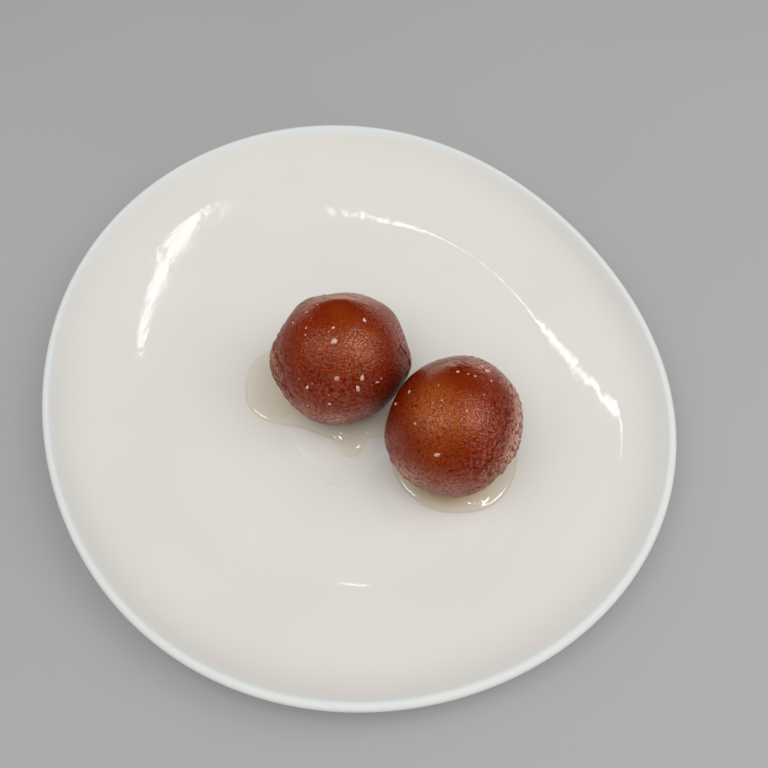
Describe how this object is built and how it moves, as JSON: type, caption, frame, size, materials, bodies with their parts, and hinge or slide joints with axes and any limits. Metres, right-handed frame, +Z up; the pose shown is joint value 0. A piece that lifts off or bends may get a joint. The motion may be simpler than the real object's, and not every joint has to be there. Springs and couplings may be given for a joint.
{
  "type": "gulab jamun on a plate",
  "caption": "Soft brown gulab jamun with a glossy syrup-soaked skin, served in a little pale syrup on a pebble-shaped white coupe plate.",
  "frame": {"origin": "on the table, under the middle of the plate's outline", "axes": "+Z up; the diner sits on the -Y side, with the smaller ball nearer and to the right (+X)"},
  "size_m": [0.2036, 0.2126, 0.0475],
  "materials": {
    "porcelain": "gloss",
    "fried_skin": "gloss",
    "syrup": "gloss"
  },
  "bodies": {
    "root": {"plate": "porcelain", "gulab_jamun_left": "fried_skin", "gulab_jamun_right": "fried_skin", "syrup_left": "syrup", "syrup_right": "syrup"}
  },
  "joints": []
}
